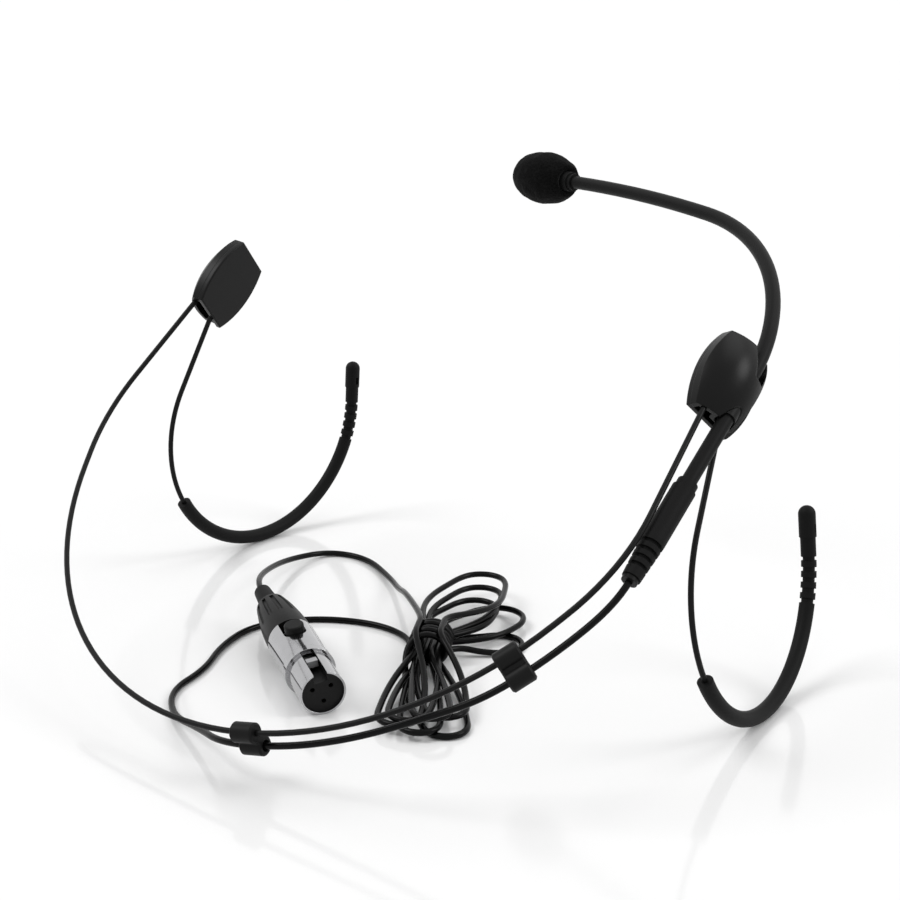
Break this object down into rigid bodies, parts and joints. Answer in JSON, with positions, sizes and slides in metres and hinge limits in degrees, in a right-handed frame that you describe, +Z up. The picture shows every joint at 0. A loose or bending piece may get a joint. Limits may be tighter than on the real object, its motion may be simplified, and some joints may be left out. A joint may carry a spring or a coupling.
{
  "type": "headset microphone",
  "caption": "Black stage headset microphone: wire neckband with ear hooks and hubs, bent boom with foam windscreen, and a thin tied lead ending in a small three-pole locking plug.",
  "frame": {"origin": "on the floor, under the middle of the headset's outline without its free cable, hank and plug", "axes": "+Z up, +X from the left hub towards the hub that carries the boom, +Y forward, the way the wearer faces"},
  "size_m": [0.1484, 0.1466, 0.0926],
  "materials": {
    "coated_wire": "satin black coating",
    "hub_plastic": "fine satin",
    "soft_rubber": "soft matte",
    "boom_jacket": "matte",
    "boom_metal": "plain",
    "inner_plastic": "plain",
    "capsule_black": "satin",
    "capsule_steel": "fine brushed",
    "foam": "open foam",
    "plug_chrome": "bright plated",
    "plug_plastic": "semi-gloss",
    "plug_black": "satin",
    "contact_metal": "gilt",
    "cable_jacket": "glossy",
    "spring_steel": "plain"
  },
  "bodies": {
    "frame": {"neckband_wire": "coated_wire", "hub_plate_left": "hub_plastic", "hub_plate_right": "hub_plastic", "hub_cover_left": "hub_plastic", "hub_cover_right": "hub_plastic", "wire_clamp_left": "inner_plastic", "wire_clamp_right": "inner_plastic", "hook_wire_left": "coated_wire", "hook_wire_right": "coated_wire", "ear_sleeve_left": "soft_rubber", "ear_sleeve_right": "soft_rubber", "boom_bush": "inner_plastic", "cable_lead": "cable_jacket", "cable_hank": "cable_jacket", "cable_tail": "cable_jacket", "plug_shell": "plug_chrome", "plug_insert": "plug_plastic", "plug_contacts": "contact_metal", "plug_backshell": "plug_black", "plug_boot": "soft_rubber", "plug_chuck": "inner_plastic", "latch_spring": "spring_steel"},
    "ferrule": {"swivel_ferrule": "plug_black"},
    "boom": {"boom_tube": "boom_jacket", "boom_core": "boom_metal", "boom_lead": "cable_jacket", "junction_sleeve": "soft_rubber", "junction_splice": "inner_plastic", "capsule_collar": "soft_rubber", "capsule_housing": "capsule_black", "capsule_element": "capsule_steel", "capsule_grille": "capsule_steel"},
    "windscreen": {"windscreen": "foam"},
    "clip_1": {"cable_clip_1": "plug_black"},
    "clip_2": {"cable_clip_2": "plug_black"},
    "latch": {"latch_button": "plug_black"}
  },
  "joints": [
    {"name": "boom_reach", "type": "slide", "parent": "frame", "child": "ferrule", "axis": [-0.0761, 0.8339, 0.5467], "range_m": [0, 0.01]},
    {"name": "boom_turn", "type": "hinge", "parent": "ferrule", "child": "boom", "pos_m": [0.06779, -0.02437, 0.04171], "axis": [-0.0761, 0.8339, 0.5467], "range_deg": [-35, 60]},
    {"name": "windscreen_pull", "type": "slide", "parent": "boom", "child": "windscreen", "axis": [-0.979, 0.2008, -0.0343], "range_m": [0, 0.014]},
    {"name": "clip_1_slide", "type": "hinge", "parent": "frame", "child": "clip_1", "pos_m": [-0.0024, -0.01689, 0.05135], "axis": [0, 0.608, -0.7939], "range_deg": [-2.5, 2.5]},
    {"name": "clip_2_slide", "type": "hinge", "parent": "frame", "child": "clip_2", "pos_m": [-0.0024, -0.01689, 0.05135], "axis": [0, 0.608, -0.7939], "range_deg": [-2.5, 2.5]},
    {"name": "latch_press", "type": "slide", "parent": "frame", "child": "latch", "axis": [0.0125, 0.1512, -0.9884], "range_m": [0, 0.0007], "stiffness_N_per_m": 800, "deforming": ["latch_spring"]}
  ]
}
